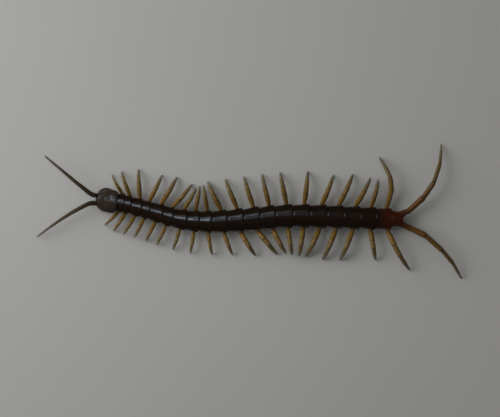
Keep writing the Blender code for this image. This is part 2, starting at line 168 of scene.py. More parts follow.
ANTENNA_ROOT = (0.4, 0.82, 2.62)
ANTENNA_COURSES = {
    RIGHT: [(-35.9, 4.35, 3.2), (-38.6, 6.6, 4.0), (-42.9, 10.4, 4.9), (-45.9, 13.0, 5.2)],
    LEFT: [(-36.5, 2.0, 3.0), (-40.7, -0.25, 3.2), (-45.0, -3.2, 2.4), (-48.1, -5.6, 1.4)],
}
SOCKET_LENGTH, SOCKET_DEPTH, SOCKET_RADIUS = 0.5, 0.9, 0.63
SOCKET_SHORT = 0.12  # of the feeler's first article
# Along a socket: share of its length, share of its radius, edge mark.
SOCKET_RINGS = [(0, 1, 0), (0.5, 1, 0), (0.8, 0.94, 0), (0.9, 1, 0.3), (0.97, 0.98, 0.6), (1, 0.75, 1)]
ANTENNA_ARTICLES = 19
ANTENNA_RADII = (0.62, 0.24)
ARTICLE_RINGS = np.array([0, 0.06, 0.14, 0.3, 0.5, 0.7, 0.86, 0.95])  # shares of an article
BARE_ARTICLES = 4  # the first articles, which have no hairs

# Legs 1 to 20 of each side: sweep back (+) or forward (-) of square, and reach to the claw.
STANCE = {
    RIGHT: [
        (-42, 4.8), (-34, 5.7), (-19, 6.4), (11, 6.3), (13, 6.9), (25, 6.7), (20, 5.5),
        (6, 5.5), (-10, 5.8), (-23, 7.0), (-18, 7.1), (-12, 7.0), (-8, 7.0), (-9, 7.1),
        (5, 7.2), (20, 7.0), (22, 7.6), (25, 7.2), (13, 6.4), (-10, 11.5),
    ],
    LEFT: [
        (-33, 4.7), (-21, 5.2), (-17, 5.2), (-12, 5.1), (-9, 5.2), (-10, 5.2), (-9, 5.2),
        (-5, 5.3), (11, 5.5), (18, 5.9), (27, 6.9), (33, 7.6), (23, 6.8), (6, 6.6),
        (-8, 7.0), (-23, 7.7), (-20, 8.2), (-19, 8.1), (12, 7.4), (30.5, 11.2),
    ],
}
LIFTED = {RIGHT: (7, 8, 9, 18, 19), LEFT: (3, 4, 13, 14, 15)}
LIFT = 0.8
BOWS = {(RIGHT, 20): 1.9, (LEFT, 20): -0.3}
COXA_INSET, COXA_UP, COXA_DEPTH = 0.3, 0.42, 0.95
COXA_RADII = (0.2, 0.17)
LEG_STATION = 0.7
LEG_JOINTS = [(0, 1.62), (0.11, 1.72), (0.36, 2.5), (0.6, 2.68), (0.81, 1.92), (0.93, 0.86), (0.985, 0.3)]
LEG_RADII = [(0.46, 0.5), (0.58, 0.63), (0.58, 0.57), (0.52, 0.48), (0.42, 0.36), (0.31, 0.17)]
LONG_REACH = 7.2  # a leg that reaches less is slimmer in the same measure
LAST_WALKING_ARCH = 0.5
LAST_LEG_COURSES = {
    RIGHT: [
        (35.6, 0.35, 2.3), (38.8, 3.5, 3.2), (41.1, 7.0, 3.5),
        (42.4, 10.9, 2.6), (42.8, 13.8, 1.2), (42.8, 15.1, 0.35),
    ],
    LEFT: [
        (36.0, -3.6, 2.3), (39.3, -5.1, 3.2), (43.1, -8.5, 3.4),
        (45.5, -11.4, 2.4), (47.0, -14.0, 1.1), (47.65, -15.2, 0.35),
    ],
}
LAST_LEG_RADII = [(0.64, 0.68), (0.66, 0.71), (0.6, 0.59), (0.5, 0.48), (0.4, 0.36), (0.3, 0.18)]
LAST_FOOT = 0.2
LAST_COXA = (69.0, 0.95, 1.15)  # station, distance from the midline, height over the belly
LAST_COXA_RADII = (0.84, 0.72)
LAST_COXA_LENGTH = 1.1
# The spines on the inner side of a last leg's thigh: share of its length, turn upwards.
SPINES = [(0.3, -60), (0.55, -75), (0.8, -55), (0.45, -20), (0.75, -10), (0.9, 40)]
SPINE_OUT, SPINE_SIZE = 0.6, (0.3, 0.07)

BEND_SHARE = 0.17  # of the shorter of two articles, over which their bend is rounded
ARTICLE_STEPS, BEND_STEPS = 9, 8
JOINT_SHARE = 0.06  # how much of an article counts as its joint
# An article's thickness along it: waisted where it starts, flared where it ends.
ARTICLE = [
    (0, 0.87), (0.05, 0.93), (0.13, 0.98), (0.5, 1), (0.85, 1.01), (0.93, 1.03), (0.97, 0.99), (1, 0.87),
]
BEAD = [(0, 0.74), (0.1, 0.86), (0.35, 0.95), (0.75, 1.02), (0.93, 1.0), (1, 0.74)]
LEG_COLUMNS, LAST_LEG_COLUMNS = 14, 18
SPIKE = [(0, 1), (0.25, 0.86), (0.5, 0.66), (0.75, 0.4), (0.93, 0.16), (1, 0.03)]
CLAW_RADIUS, CLAW_DEPTH = 0.09, 0.08
CLAW_SPINE_OUT, CLAW_SPINE_SIZE = 0.07, (0.2, 0.028)
# Hairs: how many on a limb, how long, and how far they lean towards its tip.
FEELER_HAIRS = (1500, 0.17, 0.6)
LEG_HAIRS = (50, 0.22, 0.9)
HAIR_RADIUS = 0.008

CAMERA_TILT = 7  # degrees from straight down
CAMERA_AIM = (-0.15, 0.86, 2.0)
CAMERA_DISTANCE = 600
VIEW_WIDTH = 112.5  # of the floor that the picture spans, at the aim
FLOOR_SIZE = 12000
ROOM_LIGHT, ROOM_GLOSS = 0.22, 0.04  # the room's brightness on dull surfaces and in glossy ones
DAYLIGHT, DAYLIGHT_SPREAD, DAYLIGHT_WAY = 0.75, 50, (0.45, -0.6, -0.7)
# Lamps: name, place, aim, size, power, colour. Glossy surfaces show all but the first.
LAMPS = [
    ("side_light", (-150, 60, 110), (0, 0, 0), (180, 180), 0.4, (1.0, 0.99, 0.97)),
    ("window", (-420, 160, 330), (0, 0, 0), (260, 260), 0.2, (0.7, 0.82, 1.0)),
    ("tube", (-56, 60, 590), (-56, 60, 0), (10, 140), 0.022, (0.85, 0.93, 1.0)),
    ("far_tube", (-190, 60, 590), (-190, 60, 0), (14, 180), 0.015, (0.9, 0.95, 1.0)),
]
# A sky that the back's gloss shows as one bluish band. Its sheets all start beyond the head
# and stop at different places, so it fades towards the tail. Each lies above the one before,
# because gloss shows only one of two lamps in one plane.
SKY_START, SKY_FAR, SKY_STEP = -125, 255, 5
SKY_SHEETS = [  # where it stops towards the tail, where it starts across, radiance, colour
    (14, -50, 0.16, (0.85, 0.9, 1.0)),
    (2, -50, 0.11, (0.85, 0.9, 1.0)),
    (-10, -50, 0.14, (0.7, 0.83, 1.0)),
    (-30, 100, 0.22, (0.5, 0.7, 1.0)),
    (-35, -50, 0.38, (0.5, 0.7, 1.0)),
    (-53, -50, 0.36, (0.5, 0.7, 1.0)),
]


def unit(vectors):
    return vectors / np.linalg.norm(vectors, axis=-1, keepdims=True)


def between(table, x):
    """The values at x of a smooth curve through (x, value) pairs, which never overshoots."""
    knots, values = np.array(table, float).T
    steps = np.diff(values) / np.diff(knots)
    before, after = np.insert(steps, 0, steps[0]), np.append(steps, steps[-1])
    steady = before * after > 0
    slopes = np.where(steady, 2 * before * after / np.where(steady, before + after, 1), 0)
    x = np.clip(x, knots[0], knots[-1])
    i = np.clip(np.searchsorted(knots, x, side="right") - 1, 0, len(knots) - 2)
    span, rise = knots[i + 1] - knots[i], values[i + 1] - values[i]
    leave, arrive = slopes[i] * span, slopes[i + 1] * span
    bend, twist = 3 * rise - 2 * leave - arrive, leave + arrive - 2 * rise
    t = (x - knots[i]) / span
    return values[i] + leave * t + bend * t**2 + twist * t**3


def smooth(points, steps=12):
    """Points on a smooth curve through the given ones."""
    points = np.array(points, float)
    ends = np.vstack([2 * points[0] - points[1], points, 2 * points[-1] - points[-2]])
    t = np.arange(steps)[:, None] / steps
    path = []
    for a, b, c, d in zip(ends, ends[1:], ends[2:], ends[3:]):
        slope = (c - a) / 2
        bend = (2 * a - 5 * b + 4 * c - d) / 2
        twist = (3 * b - a - 3 * c + d) / 2
        path.append(b + slope * t + bend * t**2 + twist * t**3)
    return np.vstack([*path, points[-1]])


def bump(x, middle, width):
    """A hill of height 1 round a middle."""
    return np.exp(-(((x - middle) / width) ** 2))


class Route:
    """A curve through points, read by the distance along it."""

    def __init__(self, points):
        self.points = np.array(points, float)
        steps = np.linalg.norm(np.diff(self.points, axis=0), axis=1)
        self.marks = np.concatenate([[0], np.cumsum(steps)])
        self.length = self.marks[-1]

    def at(self, distance):
        return np.stack([np.interp(distance, self.marks, column) for column in self.points.T], axis=-1)

    def along(self, distance):
        near = np.maximum(distance - 0.4, 0)
        far = np.minimum(distance + 0.4, self.length)
        return unit(self.at(far) - self.at(near))


AXIS = Route(smooth(BODY_AXIS))
TRUNK_LENGTH = AXIS.length - HEAD_LENGTH


def body_point(station, out, height, side=RIGHT):
    """Points by station, distance out from the midline towards a side, and height."""
    station, out, height = np.broadcast_arrays(station, out, height)
    along = AXIS.along(station)
    across = np.stack([-along[..., 1], along[..., 0], np.zeros_like(along[..., 0])], axis=-1)
    return AXIS.at(station) + across * (out * side)[..., None] + UP * height[..., None]


def segment_span(number):
    """The stations where a segment's back plate starts and ends."""
    stretch = TRUNK_LENGTH / sum(SEGMENT_LENGTHS)
    start = HEAD_LENGTH + stretch * sum(SEGMENT_LENGTHS[: number - 1])
    return start, start + stretch * SEGMENT_LENGTHS[number - 1]


def trunk_share(station):
    """How far along the trunk a station is."""
    return (station - HEAD_LENGTH) / TRUNK_LENGTH


def trunk_size(station):
    """Half the trunk's width and its height at a station."""
    share = trunk_share(station)
    return between(HALF_WIDTHS, share), between(HEIGHTS, share)


def uneven(points, scale):
    """Smooth noise from -1 to 1 at each point."""
    found = [noise.noise(Vector(point)) for point in points.reshape(-1, 3) * scale]
    return np.array(found).reshape(points.shape[:-1])


def raised(surface, lift):
    """A grid of points, moved outwards."""
    outward = unit(np.cross(np.gradient(surface, axis=1), np.gradient(surface, axis=0)))
    return surface + outward * lift[..., None]


def eased(count):
    """Shares from 0 to 1, one a row, closer together at both ends."""
    return ((1 - np.cos(np.linspace(0, pi, count))) / 2)[:, None]


def arch(angle, wide, tall):
    """How far out and how high a flattened arch is at its angles."""
    return np.sign(angle) * np.abs(np.sin(angle)) ** wide, np.abs(np.cos(angle)) ** tall


def closed_outline(half):
    """A smooth closed outline from one half of it: distances out, and heights."""
    half = smooth(half, 6)
    return np.vstack([half, half[-2:0:-1] * (-1, 1)]).T[:, None]


def sections(table, x):
    """Half width, lowest and highest point at x, by a table of sections."""
    knots = np.array(table)
    return [between(knots[:, (0, i)], x) for i in (1, 2, 3)]


def placed(name, data):
    """A new object in the scene."""
    made = bpy.data.objects.new(name, data)
    bpy.context.scene.collection.objects.link(made)
    return made


class Piece:
    """One object in the making: its points and faces, and what its material reads of them.

    A point's first mark, place, runs from 0 to 1 along the piece or the body. Its second,
    edge, is 1 in joints and grooves and at rims.
    """

    def __init__(self):
        self.points, self.faces, self.places, self.edges, self.patches = [], [], [], [], []
        self.count = 0

    def add_points(self, points, place, edge, patch=(0.5, 0.5)):
        flat = np.reshape(points, (-1, 3))
        shape = np.shape(points)[:-1]
        self.points.append(flat)
        self.places.append(np.broadcast_to(place, shape).reshape(-1))
        self.edges.append(np.broadcast_to(edge, shape).reshape(-1))
        self.patches.append(np.broadcast_to(patch, (*shape, 2)).reshape(-1, 2))
        first = self.count
        self.count += len(flat)
        return first

    def wall(self, rows, place, edge, cap=FAN, patch=(0.5, 0.5)):
        """Rings of points joined into a closed wall. A loop's last ring joins its first."""
        height, width = rows.shape[:2]
        first = self.add_points(rows, place, edge, patch)
        index = first + np.arange(height * width).reshape(height, width)
        beside = np.roll(index, -1, axis=1)
        quads = np.stack([index, beside, np.roll(beside, -1, axis=0), np.roll(index, -1, axis=0)], axis=-1)
        if cap == LOOP:
            self.faces += quads.reshape(-1, 4).tolist()
            return
        self.faces += quads[:-1].reshape(-1, 4).tolist()
        marks = [np.broadcast_to(mark, (height, width)) for mark in (place, edge)]
        for end in (0, -1):
            ring = index[end].tolist()
            if cap == FAN:
                middle = rows[end].mean(axis=0)[None]
                centre = self.add_points(middle, *(mark[end].mean() for mark in marks), patch)
                self.faces += [[centre, a, b] for a, b in zip(ring, ring[1:] + ring[:1])]
            else:
                for i in range(width // 2 - 1):
                    self.faces.append([ring[i], ring[i + 1], ring[-2 - i], ring[-1 - i]])

    def make(self, name, material, slot, replaces=()):
        mesh = bpy.data.meshes.new(name)
        mesh.from_pydata(np.vstack(self.points) * MM, [], self.faces)
        bm = bmesh.new()
        bm.from_mesh(mesh)
        bmesh.ops.recalc_face_normals(bm, faces=bm.faces)
        bm.to_mesh(mesh)
        bm.free()
        for mark, values in (("place", self.places), ("edge", self.edges)):
            layer = mesh.attributes.new(mark, "FLOAT", "POINT")
            layer.data.foreach_set("value", np.concatenate(values).astype(np.float32))
        mesh.shade_smooth()
        mesh.set_sharp_from_angle(angle=radians(60))
        mesh.materials.append(material)
        made = placed(name, mesh)
        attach(made, "root")
        if replaces:
            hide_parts(*replaces)
        return made

    def make_coat(self, name, material, slot):
        """The same for hairs, which keep the place of their roots for later baking."""
        made = self.make(name, material, slot)
        corners = np.zeros(len(made.data.loops), np.int32)
        made.data.loops.foreach_get("vertex_index", corners)
        layer = made.data.uv_layers.new(name="OFBake")
        layer.data.foreach_set("uv", np.vstack(self.patches)[corners].astype(np.float32).ravel())
        return made


def plate(piece, surface, thickness, place, edge):
    """A thin shell under a grid of points, which thins out at its rims."""
    rows, columns = surface.shape[:2]
    v = np.linspace(-1, 1, rows)[:, None]
    u = np.linspace(-1, 1, columns)[None]
    thin = (1 - THINNED * np.abs(v) ** END_POWER) * (1 - THINNED * np.abs(u) ** SIDE_POWER)
    inner = raised(surface, -thickness * thin)
    marks = [np.broadcast_to(mark, (rows, columns)) for mark in (place, edge)]
    there_and_back = [
        np.concatenate([outer, under[:, ::-1]], axis=1)
        for outer, under in [(surface, inner), *zip(marks, marks)]
    ]
    piece.wall(*there_and_back, cap=ZIP)


def arch_angles(grooves):
    """Angles over a plate's arch, closer together round its grooves."""
    even = np.linspace(-pi / 2, pi / 2, PLATE_COLUMNS)
    groove_angle = np.arcsin(SUTURE_OUT ** (1 / ARCH_WIDE))
    near = np.linspace(-2.2, 2.2, 9) * SUTURE_WIDTH
    extra = np.concatenate([near - groove_angle, near + groove_angle]) if grooves else []
    return np.sort(np.concatenate([even, extra]))


def tergite(number):
    """A back plate: an arched shell that slides under the one in front of it."""
    start, end = segment_span(number)
    length = end - start
    grooved, last = number in SUTURED, number == SEGMENTS
    angle = arch_angles(grooved)[None]
    share = eased(PLATE_ROWS)
    u, rise = arch(angle, ARCH_WIDE, ARCH_TALL)
    front = start + PLATE_OVERLAPS[0] * length + FRONT_BOW * np.abs(u) ** 3
    rear = end + PLATE_OVERLAPS[1] * length - CORNER * np.abs(u) ** 9 - REAR_BOW * (1 - u**2)
    if last:
        rear = end - LAST_SHORT + LAST_LOBE * (1 - np.abs(u) ** 1.6)
    station = front + (rear - front) * share
    half_width, height = trunk_size(station)
    out = u * half_width * between(PLATE_WIDTHS, share)
    up = BELLY + height * (ARCH_EDGE + (1 - ARCH_EDGE) * rise) * between(PLATE_HEIGHTS, share)
    groove = 0
    if grooved:
        nearby = SUTURE_OUT + 0.03 * (1 - share) ** 2
        groove = bump(np.abs(u), nearby, SUTURE_WIDTH) * np.clip(8 * share, 0, 1)
    if last:
        out = out * (1 - LAST_TAPER * share**2)
        up = up - LAST_DENT * bump(u, 0, 0.12) * bump(share, 0.75, 0.25)
    rim = bump(np.degrees(np.abs(angle)), 90, RIM_WIDTH) * np.clip(6 * share, 0, 1)
    surface = body_point(station, out, up)
    surface = raised(surface, DENT * uneven(surface, 0.45) - SUTURE_DEPTH * groove + RIM_HEIGHT * rim)
    lip = np.clip((share - LIP_START) / (1 - LIP_START), 0, 1)
    edge = np.clip(0.2 * groove + 0.5 * rim + 0.8 * lip, 0, 1)
    piece = Piece()
    plate(piece, surface, PLATE_THICKNESS, trunk_share(station), edge)
    piece.make(f"tergite_{number:02}", plate_chitin, "tail_chitin" if last else "body_chitin")


def skin():
    """The soft skin of the whole trunk, folded between segments, with small flank plates."""
    bounds = np.array([HEAD_LENGTH, *(segment_span(n)[1] for n in range(1, SEGMENTS + 1))])
    first, last = bounds[0] + SKIN_ENDS[0], bounds[-1] + SKIN_ENDS[1]
    station = np.linspace(first, last, round((last - first) / SKIN_STEP))[:, None]
    out, up = closed_outline(SKIN_OUTLINE)
    half_width, height = trunk_size(station)
    number = np.clip(np.searchsorted(bounds, station, side="right") - 1, 0, SEGMENTS - 1)
    share = np.clip((station - bounds[number]) / np.diff(bounds)[number], 0, 1)
    nearest = np.abs(station[:, :, None] - bounds).min(axis=-1)
    wide = between(SKIN_WIDTHS, share) - FOLD_DEPTH * bump(nearest, 0, FOLD_LENGTH)
    level = BELLY + between(SKIN_RISE, share) + height * between(SKIN_HEIGHTS, share) * up
    rows = body_point(station, out * half_width * wide, level)
    plates = 0
    for along, middle, long, high in FLANK_PLATES:
        hill = ((share - along) / long) ** 2 + ((up - middle) / high) ** 2
        plates = np.maximum(plates, np.clip(1.6 - 1.6 * hill, 0, 1))
    plates = plates * (np.abs(out) > FLANK)
    wrinkles = uneven(rows, 2.3) + 0.6 * uneven(rows * (1, 1, 2.2), 4.5)
    flank = bump(up, 0.42, 0.2) * (np.abs(out) > FLANK)
    push = flank * WRINKLE * wrinkles * (1 - plates) + plates * FLANK_PLATE_HEIGHT
    rows = rows + (body_point(station, np.sign(out), 0) - body_point(station, 0, 0)) * push[..., None]
    piece = Piece()
    piece.wall(rows, trunk_share(station), 1 - plates)
    trunk = [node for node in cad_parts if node.startswith("trunk_")]
    piece.make("body_skin", skin_material, "body_chitin", trunk)


def sternite(number):
    """A belly plate, nearly flat, with a short groove on each side at both of its ends."""
    start, end = segment_span(number)
    length = end - start
    last = number == SEGMENTS
    share = np.linspace(0, 1, BELLY_ROWS)[:, None]
    u = np.linspace(-1, 1, BELLY_COLUMNS)[None]
    front = start + 0.05 * length + 0.1 * np.abs(u) ** 6
    rear = end + 0.02 * length - 0.12 * np.abs(u) ** 6
    station = front + (rear - front) * share
    half_width, height = trunk_size(station)
    narrow = 0.3 * share if last else 0
    out = u * half_width * (between(BELLY_WIDTHS, share) * (1 - narrow))
    near_end = np.clip(np.abs(share - 0.5) * 4 - 1.1, 0, 1)
    groove = bump(np.abs(u), *BELLY_GROOVE) * near_end
    up = BELLY + between(BELLY_RISE, share) + height * 0.07 * np.abs(u) ** 4 + 0.02 * groove
    piece = Piece()
    plate(piece, body_point(station, -out, up), BELLY_THICKNESS, trunk_share(station), groove)
    piece.make(f"sternite_{number:02}", belly_chitin, "tail_chitin" if last else "body_chitin")


def rings(centres, radii, columns):
    """Rings of points round a centreline, and the outward directions at them."""
    forward = unit(np.gradient(centres, axis=0))
    sideways = np.cross(forward[0], UP)
    if np.linalg.norm(sideways) < 0.1:
        sideways = np.array((1.0, 0, 0))
    frames = []
    for ahead in forward:
        sideways = unit(sideways - ahead * (sideways @ ahead))
        frames.append((sideways, np.cross(ahead, sideways)))
    sides, tops = np.array(frames).transpose(1, 0, 2)
    angle = (np.arange(columns) * tau / columns)[None, :, None]
    outward = sides[:, None] * np.cos(angle) + tops[:, None] * np.sin(angle)
    return centres[:, None] + outward * np.reshape(radii, (-1, 1, 1)), outward


def rounded(centres, radii, places, edges):
    """A course with its far end drawn out into a small dome."""
    bends = np.radians([30, 60, 80])
    dome = centres[-1] + np.outer(radii[-1] * np.sin(bends), unit(centres[-1] - centres[-2]))
    marks = [np.append(mark, [mark[-1]] * len(bends)) for mark in (places, edges)]
    return np.vstack([centres, dome]), np.append(radii, radii[-1] * np.cos(bends)), *marks


def limb_course(places, radii):
    """A jointed limb's centres, radii, and its place and edge marks, one of each a ring."""
    places = np.array(places, float)
    spans = np.linalg.norm(np.diff(places, axis=0), axis=1)
    count = len(spans)
    corners = [0.0, *(BEND_SHARE * min(a, b) for a, b in zip(spans, spans[1:])), 0.0]
    centres, knots = [], []
    for i, (near, far) in enumerate(zip(places, places[1:])):
        for share in np.linspace(corners[i] / spans[i], 1 - corners[i + 1] / spans[i], ARTICLE_STEPS):
            centres.append(near + (far - near) * share)
            knots.append((i, share))
        if i + 1 < count:
            cut, next_cut = corners[i + 1] / spans[i], corners[i + 1] / spans[i + 1]
            enter = far + (near - far) * cut
            leave = far + (places[i + 2] - far) * next_cut
            for t in np.arange(1, BEND_STEPS) / BEND_STEPS:
                centres.append((1 - t) ** 2 * enter + 2 * t * (1 - t) * far + t**2 * leave)
                knots.append((i, 1 - cut * (1 - 2 * t)) if t <= 0.5 else (i + 1, next_cut * (2 * t - 1)))
    thick, where, edge = [], [], []
    for i, share in knots:
        start, end = radii[i]
        thick.append((start + (end - start) * share) * float(between(ARTICLE, share)))
        where.append((i + share) / count)
        close = min(share if i else 1, 1 - share if i + 1 < count else 1)
        edge.append(max(0.0, 1 - close / JOINT_SHARE))
    return np.array(centres), np.array(thick), np.array(where), np.array(edge)


def tube(piece, course, columns):
    """A limb's wall, with round ends. Gives back its points and outward directions."""
    centres, radii, places, edges = rounded(*course)
    rows, outward = rings(centres, radii, columns)
    piece.wall(rows, places[:, None], edges[:, None])
    return rows, outward


def spike(piece, root, way, length, radius, place=1.0, curl=(0, 0, 0), columns=7, patch=(0.5, 0.5)):
    """A pointed spine, hair or claw, that may curl over towards its tip."""
    share, thin = np.array(SPIKE).T
    centres = np.array(root) + np.outer(share * length, way) + np.outer(share**2, curl)
    rows, _ = rings(centres, radius * thin, columns)
    piece.wall(rows, place, share[:, None], patch=patch)


def leg_root(number, side):
    """Where a leg's coxa ends, and the level direction that both share there."""
    start, end = segment_span(number)
    station = start + LEG_STATION * (end - start)
    half_width, _ = trunk_size(station)
    sweep, _ = STANCE[side][number - 1]
    along = AXIS.along(station)
    square = np.array((-along[1], along[0], 0)) * side
    outward = square * cos(radians(sweep)) + along * sin(radians(sweep))
    return body_point(station, half_width - COXA_INSET, BELLY + COXA_UP, side), outward


def last_leg_root(side):
    """The same for the last pair, whose coxae end the trunk."""
    station, out, height = LAST_COXA
    inside = body_point(station, out, BELLY + height, side)
    outward = unit((np.array(LAST_LEG_COURSES[side][0]) - inside) * (1, 1, 0))
    return inside + outward * LAST_COXA_LENGTH, outward


def leg(number, side):
    """A walking leg with its coxa, in one skin, and its claw."""
    end, outward = leg_root(number, side)
    root = end + outward * GAP
    _, reach = STANCE[side][number - 1]
    back = np.cross(outward, UP) * side
    bow = BOWS.get((side, number), 0)
    lift = LIFT if number in LIFTED[side] else 0
    arch = LAST_WALKING_ARCH if number == SEGMENTS - 1 else 0
    half_width, _ = trunk_size(sum(segment_span(number)) / 2)
    places = [end - outward * COXA_DEPTH, root - outward * GAP / 2]
    for share, height in LEG_JOINTS[1:]:
        place = root + outward * (share * reach) + back * (bow * sin(pi * share))
        place[2] = height + lift * share + arch * sin(pi * share)
        places.append(place)
    foot = root + outward * reach
    foot[2] = lift
    coxa = [radius * half_width for radius in COXA_RADII]
    girth = min(reach / LONG_REACH, 1)
    radii = [(thick * girth, thin * girth) for thick, thin in LEG_RADII]
    piece = Piece()
    rows, away = tube(piece, limb_course(places, [coxa, *radii]), LEG_COLUMNS)
    name = f"{SIDE_NAMES[side]}_{number:02}"
    piece.make(f"leg_skin_{name}", leg_chitin, "leg_chitin", [f"leg_{name}"])
    add_claw(side, places[-1], places[-2], foot)
    return rows, away


def add_claw(side, last, before, foot):
    """The claw at the end of a leg, between two fine spines."""
    ahead = unit(last - before)
    root = last - ahead * CLAW_DEPTH
    chord = np.array(foot) + (0, 0, 0.01) - root
    spike(claws[side], root, chord * 0.8 + ahead * 0.12, 1, CLAW_RADIUS, curl=chord * 0.2 - ahead * 0.12)
    sideways = unit(np.cross(ahead, UP))
    for turn in (1, -1):
        start = last + sideways * (CLAW_SPINE_OUT * turn)
        way = unit(ahead + sideways * 0.25 * turn - UP * 0.3)
        spike(claws[side], start, way, *CLAW_SPINE_SIZE, place=0.8)


def last_leg(side):
    """A leg of the last pair with its coxa, and the spines on its thigh."""
    end, outward = last_leg_root(side)
    knees = [np.array(place) for place in LAST_LEG_COURSES[side]]
    places = [end - outward * 2 * LAST_COXA_LENGTH, end + outward * GAP / 2, *knees]
    foot = places[-1] + (places[-1] - places[-2]) * LAST_FOOT
    foot[2] = 0
    piece = Piece()
    rows, away = tube(piece, limb_course(places, [LAST_COXA_RADII, *LAST_LEG_RADII]), LAST_LEG_COLUMNS)
    name = f"{SIDE_NAMES[side]}_{SEGMENTS}"
    piece.make(f"leg_skin_{name}", last_leg_chitin, "last_leg_chitin", [f"leg_{name}"])
    add_claw(side, places[-1], places[-2], foot)
    near, far = knees[:2]
    along = unit(far - near)
    inward = unit(np.cross(along, UP)) * side
    inward = -inward if inward @ (0, side, 0) > 0 else inward
    for share, turn in SPINES:
        away_from = inward * cos(radians(turn)) + UP * sin(radians(turn))
        root = near + (far - near) * share + away_from * SPINE_OUT
        spike(claws[side], root, unit(away_from + along * 0.7), *SPINE_SIZE, place=0.9)
    return rows, away


def antenna_socket(side):
    """Where the head's socket ends, and the way the feeler leaves it."""
    base = body_point(*ANTENNA_ROOT, side)
    outward = unit(np.array(ANTENNA_COURSES[side][0]) - base)
    return base + outward * SOCKET_LENGTH, outward


def antenna(side):
    """A feeler of many articles, bare and glossy at its root and finely haired beyond."""
    end, outward = antenna_socket(side)
    route = Route(smooth([end, *ANTENNA_COURSES[side]]))
    knots = (np.arange(ANTENNA_ARTICLES)[:, None] + ARTICLE_RINGS).reshape(-1)
    knots = np.append(knots, ANTENNA_ARTICLES - 0.001)
    share = knots / ANTENNA_ARTICLES
    centres = route.at(route.length * knots / ANTENNA_ARTICLES)
    centres[0] = end - outward * 0.2
    first, last = ANTENNA_RADII
    radii = (first + (last - first) * share**0.8) * between(BEAD, knots % 1)
    edges = np.clip(1 - np.minimum(knots % 1, 1 - knots % 1) / 0.1, 0, 1)
    piece, hairs = Piece(), Piece()
    rows, away = tube(piece, (centres, radii, share, edges), 12)
    name = SIDE_NAMES[side]
    piece.make(f"feeler_{name}", antenna_chitin, "antenna_chitin", [f"antenna_{name}"])
    bare = BARE_ARTICLES * len(ARTICLE_RINGS)
    plant(hairs, rows[bare:-6], away[bare:-6], side, *FEELER_HAIRS)
    hairs.make_coat(f"feeler_hairs_{name}", hair_material, "antenna_chitin")


def plant(hairs, rows, away, side, count, length, lean):
    """Hairs over a limb's wall, leaning towards its tip. A side has half of the bake map."""
    height, width = rows.shape[:2]
    for _ in range(count):
        i, j = int(RANDOM.integers(height - 1)), int(RANDOM.integers(width))
        t, s = RANDOM.random(2)
        row = rows[i] + (rows[i + 1] - rows[i]) * t
        root = row[j] + (row[(j + 1) % width] - row[j]) * s
        outward = unit(away[i, j] * (1 - s) + away[i, (j + 1) % width] * s)
        ahead = unit(rows[i + 1, j] - rows[i, j] + 1e-9)
        size = length * RANDOM.uniform(0.7, 1.2)
        patch = ((i + t) / height * 0.48 + (0.5 if side == RIGHT else 0.01), (j + s) / width * 0.9 + 0.05)
        spike(hairs, root - outward * HAIR_RADIUS, unit(outward + ahead * lean), size, HAIR_RADIUS,
              curl=ahead * size * 0.3, columns=3, patch=patch)


def head_plate():
    share = eased(HEAD_ROWS)
    angle = np.linspace(-pi / 2, pi / 2, HEAD_COLUMNS)[None]
    half_width, low, high = sections(HEAD_PLATE, share)
    u, rise = arch(angle, HEAD_WIDE, HEAD_TALL)
    station = share * (HEAD_LENGTH + HEAD_OVERLAP) - HEAD_CORNER * share**4 * np.abs(u) ** 5
    surface = body_point(station, u * half_width, low + (high - low) * rise)
    rim = bump(np.degrees(np.abs(angle)), 90, HEAD_RIM_WIDTH)
    surface = raised(surface, HEAD_DENT * uneven(surface, 0.8) + HEAD_RIM_HEIGHT * rim)
    piece = Piece()
    plate(piece, surface, HEAD_THICKNESS, share, rim * 0.6)
    piece.make("head_plate", head_chitin, "head_chitin")


def head_capsule():
    """The head under its plate, with the feelers' sockets."""
    share = np.linspace(0, 1, 36)[:, None]
    half_width, low, high = sections(HEAD_SECTIONS, share)
    out, up = closed_outline(HEAD_OUTLINE)
    height = low + up * (high - low) - CAPSULE_DROP
    piece = Piece()
    piece.wall(body_point(share * (HEAD_LENGTH + CAPSULE_OVERLAP), out * half_width, height), share, 0.3)
    shares, thick, edge = np.array(SOCKET_RINGS).T
    for side in SIDES:
        end, outward = antenna_socket(side)
        inside = end - outward * (SOCKET_LENGTH + SOCKET_DEPTH)
        centres = inside + np.outer(shares, end - outward * SOCKET_SHORT - inside)
        socket, _ = rings(centres, SOCKET_RADIUS * thick, 20)
        piece.wall(socket, 0.1, edge[:, None])
    piece.make("head_capsule", head_chitin, "head_chitin", ["head"])


def simple_eyes():
    tilt = np.radians(np.linspace(5, 175, 14))
    for side in SIDES:
        eyes = Piece()
        for station, out, height, radius in OCELLI:
            centres = body_point(station, out, height, side) + np.outer(np.cos(tilt) * radius, UP)
            dome, _ = rings(centres[::-1], radius * np.sin(tilt), 20)
            eyes.wall(dome, 0.5, 0)
        eyes.make(f"ocelli_{SIDE_NAMES[side]}", eye_material, "head_chitin")


